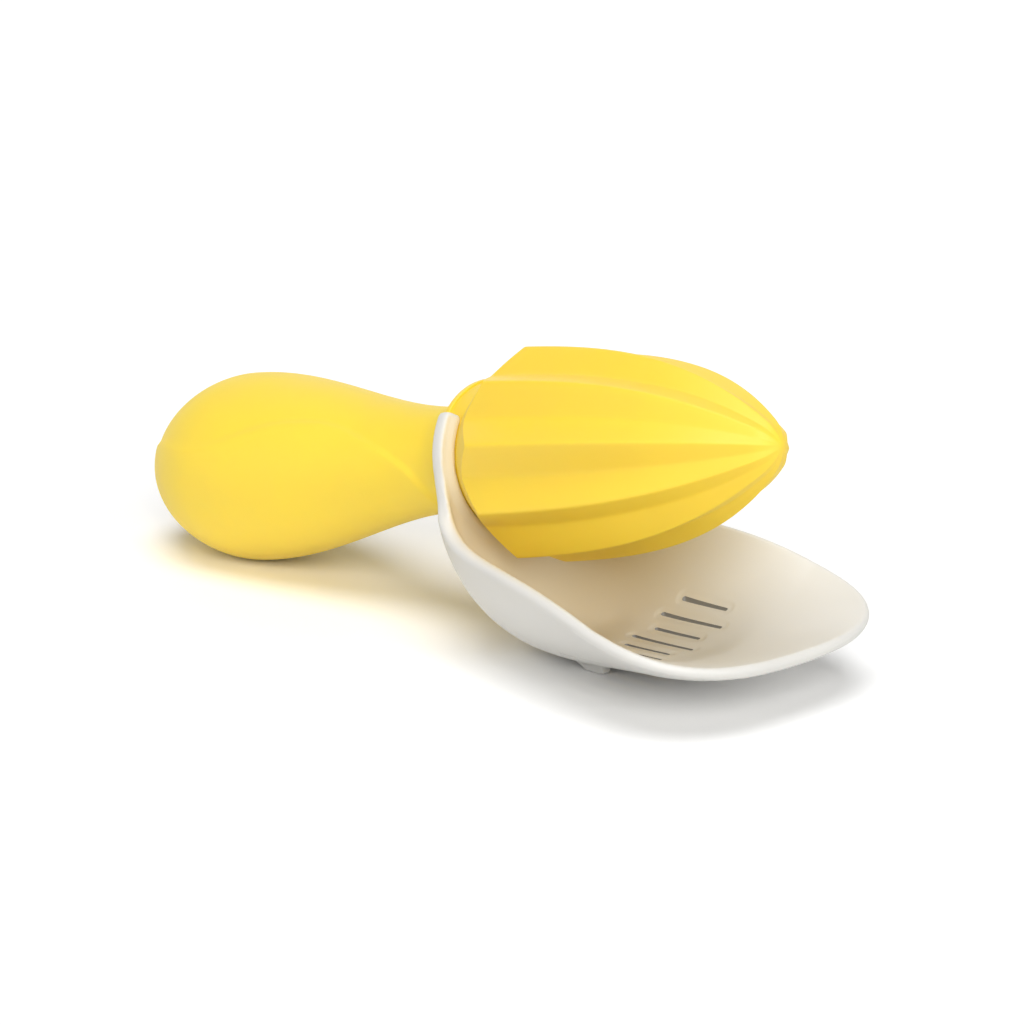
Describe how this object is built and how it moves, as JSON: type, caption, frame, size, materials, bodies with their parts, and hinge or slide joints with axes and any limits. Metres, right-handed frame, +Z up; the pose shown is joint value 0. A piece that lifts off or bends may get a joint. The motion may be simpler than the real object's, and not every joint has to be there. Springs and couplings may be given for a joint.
{
  "type": "citrus reamer",
  "caption": "Hand citrus reamer with a soft bulb handle, a ridged cone head and a slotted strainer scoop that clips round the neck, turns about it and props the tool on a table.",
  "frame": {"origin": "middle of the bounding box, on the table plane that the handle's bulb and the strainer's two foot pads rest on", "axes": "+X along the tool towards the reaming head and the strainer's lip, +Y across to the left seen from the handle, +Z up from the table"},
  "size_m": [0.1826, 0.066, 0.0624],
  "materials": {
    "head_plastic": "satin moulded nylon, warm yellow",
    "spindle_plastic": "satin moulded nylon, warm yellow",
    "core_plastic": "plain moulded plastic, hidden",
    "soft_grip": "soft-touch matt yellow skin",
    "strainer_plastic": "satin off-white moulded plastic"
  },
  "bodies": {
    "reamer": {"reamer_head": "head_plastic", "neck_spindle": "spindle_plastic", "handle_core_left": "core_plastic", "handle_core_right": "core_plastic", "handle_grip": "soft_grip"},
    "strainer": {"strainer": "strainer_plastic"}
  },
  "joints": [
    {"name": "strainer_swivel", "type": "hinge", "parent": "reamer", "child": "strainer", "pos_m": [0.0124, 0, 0.03586], "axis": [0.9799, 0, 0.1997], "continuous": true}
  ]
}
